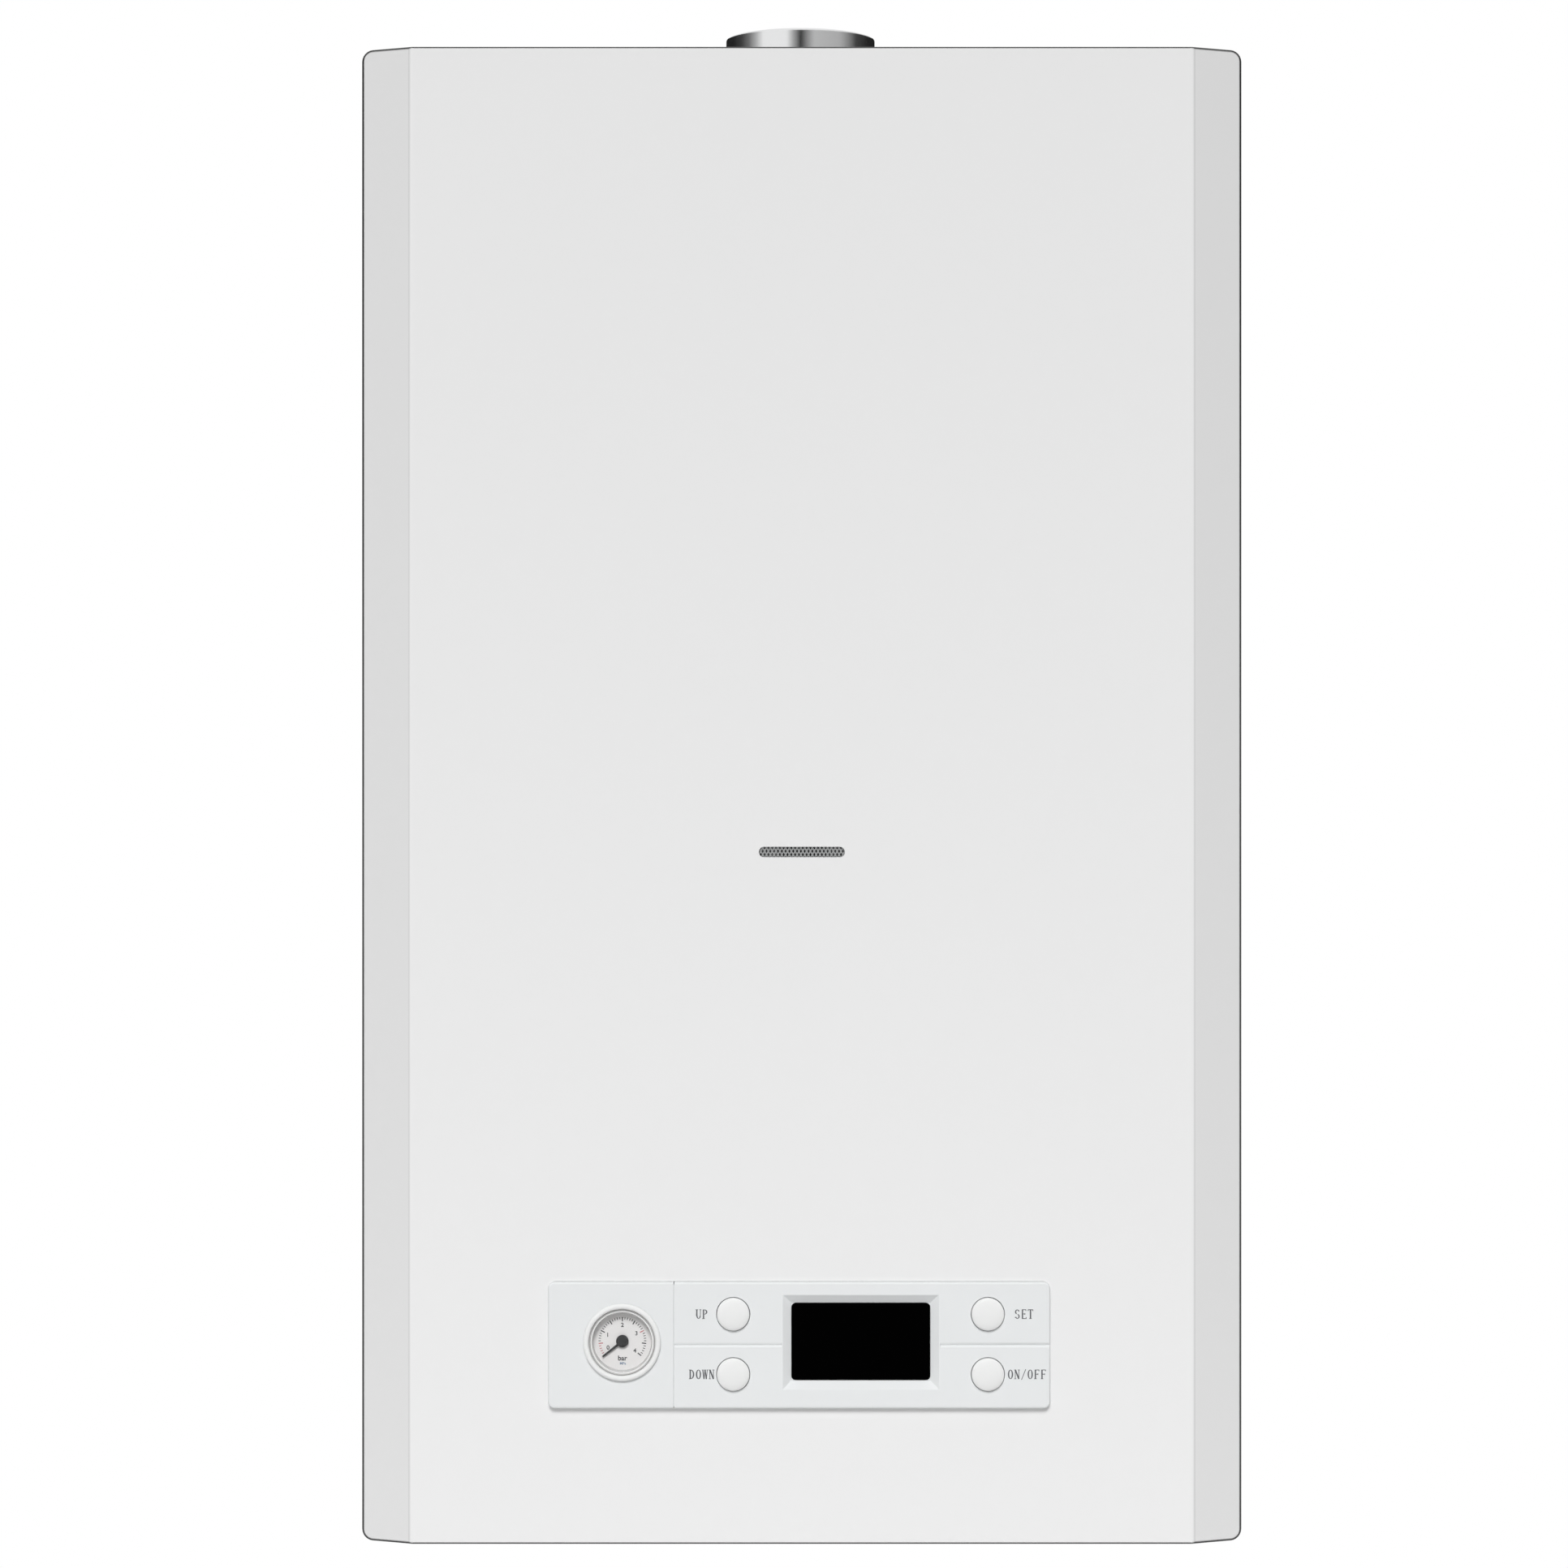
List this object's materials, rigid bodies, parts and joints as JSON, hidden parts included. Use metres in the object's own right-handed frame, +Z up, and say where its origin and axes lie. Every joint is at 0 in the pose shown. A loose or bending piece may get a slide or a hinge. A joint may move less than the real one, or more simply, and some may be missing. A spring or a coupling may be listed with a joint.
{
  "type": "combi boiler",
  "caption": "Wall-hung combi boiler in a folded white casing with faceted front edges, a concentric flue collar on top, a sight slot and a control panel with display, push buttons and pressure gauge.",
  "frame": {"origin": "centre of the wall bracket's back face, where the boiler hangs on the wall", "axes": "+X to the right seen from the front, +Y into the wall, +Z up; the front cover faces -Y"},
  "size_m": [0.44, 0.3372, 0.807],
  "materials": {
    "white_enamel": "satin",
    "galvanised": "satin",
    "polished_steel": "polished",
    "aluminised": "satin",
    "copper": "satin",
    "brass": "satin",
    "cast_metal": "matte",
    "white_plastic": "satin",
    "grey_plastic": "matte",
    "black_plastic": "matte",
    "red_plastic": "satin",
    "blue_plastic": "satin",
    "red_enamel": "satin",
    "board_green": "satin",
    "black_glass": "gloss",
    "clear_glass": "clear",
    "rubber": "matte",
    "ceramic": "satin"
  },
  "bodies": {
    "boiler": {"wall_bracket": "galvanised", "back_frame": "galvanised", "left_side_panel": "white_enamel", "right_side_panel": "white_enamel", "top_panel": "white_enamel", "bottom_plate": "galvanised", "cable_gland": "black_plastic", "gauge_panel": "white_plastic", "control_fascia": "white_plastic", "display_window": "black_glass", "control_box": "grey_plastic", "control_board": "board_green", "gauge_case": "white_plastic", "gauge_dial": "white_plastic", "gauge_lens": "clear_glass", "flue_collar": "polished_steel", "exhaust_duct": "polished_steel", "chamber_shell": "galvanised", "chamber_door": "galvanised", "chamber_door_seal": "rubber", "sight_glass": "clear_glass", "flue_hood": "aluminised", "heat_exchanger": "copper", "combustion_box": "aluminised", "burner": "polished_steel", "gas_manifold": "cast_metal", "flame_electrode": "ceramic", "air_pressure_switch": "grey_plastic", "fan_housing": "galvanised", "fan_motor": "cast_metal", "expansion_vessel": "red_enamel", "expansion_hose": "rubber", "return_manifold": "brass", "flow_manifold": "brass", "diverter_motor": "black_plastic", "plate_heat_exchanger": "polished_steel", "exchanger_return_pipe": "copper", "exchanger_flow_pipe": "copper", "gas_valve": "cast_metal", "heating_flow_union": "brass", "hot_water_union": "brass", "gas_union": "brass", "cold_water_union": "brass", "heating_return_union": "brass", "pump_body": "cast_metal", "pump_motor": "black_plastic"},
    "cover": {"front_cover": "white_enamel", "sight_grille": "polished_steel", "cover_screw_left": "galvanised", "cover_screw_right": "galvanised"},
    "up_key": {"up_button": "white_plastic"},
    "down_key": {"down_button": "white_plastic"},
    "set_key": {"set_button": "white_plastic"},
    "on_off_key": {"on_off_button": "white_plastic"},
    "needle": {"gauge_needle": "black_plastic"},
    "fan_wheel": {"fan_impeller": "aluminised"},
    "pump_wheel": {"pump_impeller": "white_plastic"},
    "relief_knob": {"relief_valve_knob": "red_plastic"},
    "filling_knob": {"filling_tap_knob": "blue_plastic"},
    "diverter": {"diverter_spindle": "brass"}
  },
  "joints": [
    {"name": "cover_slide", "type": "slide", "parent": "boiler", "child": "cover", "axis": [0, -1, 0], "range_m": [0, 0.3]},
    {"name": "up_press", "type": "slide", "parent": "boiler", "child": "up_key", "axis": [0, 1, 0], "range_m": [0, 0.0015], "stiffness_N_per_m": 600, "springref_m": -0.001},
    {"name": "down_press", "type": "slide", "parent": "boiler", "child": "down_key", "axis": [0, 1, 0], "range_m": [0, 0.0015], "stiffness_N_per_m": 600, "springref_m": -0.001},
    {"name": "set_press", "type": "slide", "parent": "boiler", "child": "set_key", "axis": [0, 1, 0], "range_m": [0, 0.0015], "stiffness_N_per_m": 600, "springref_m": -0.001},
    {"name": "on_off_press", "type": "slide", "parent": "boiler", "child": "on_off_key", "axis": [0, 1, 0], "range_m": [0, 0.0015], "stiffness_N_per_m": 600, "springref_m": -0.001},
    {"name": "needle_turn", "type": "hinge", "parent": "boiler", "child": "needle", "pos_m": [-0.0893, -0.334, -0.582], "axis": [0, 1, 0], "range_deg": [0, 256], "stiffness_Nm_per_rad": 0.0002, "springref_deg": -17.19},
    {"name": "fan_spin", "type": "hinge", "parent": "boiler", "child": "fan_wheel", "pos_m": [-0.052, -0.15, -0.051], "axis": [0, 1, 0], "continuous": true},
    {"name": "pump_spin", "type": "hinge", "parent": "boiler", "child": "pump_wheel", "pos_m": [0.14, -0.131, -0.558], "axis": [0, 1, 0], "continuous": true},
    {"name": "relief_turn", "type": "hinge", "parent": "boiler", "child": "relief_knob", "pos_m": [0.16, -0.175, -0.636], "axis": [0, -1, 0], "range_deg": [0, 90]},
    {"name": "filling_turn", "type": "hinge", "parent": "boiler", "child": "filling_knob", "pos_m": [0.088, -0.175, -0.636], "axis": [0, -1, 0], "range_deg": [0, 540]},
    {"name": "diverter_slide", "type": "slide", "parent": "boiler", "child": "diverter", "axis": [0, 0, 1], "range_m": [0, 0.007]}
  ]
}
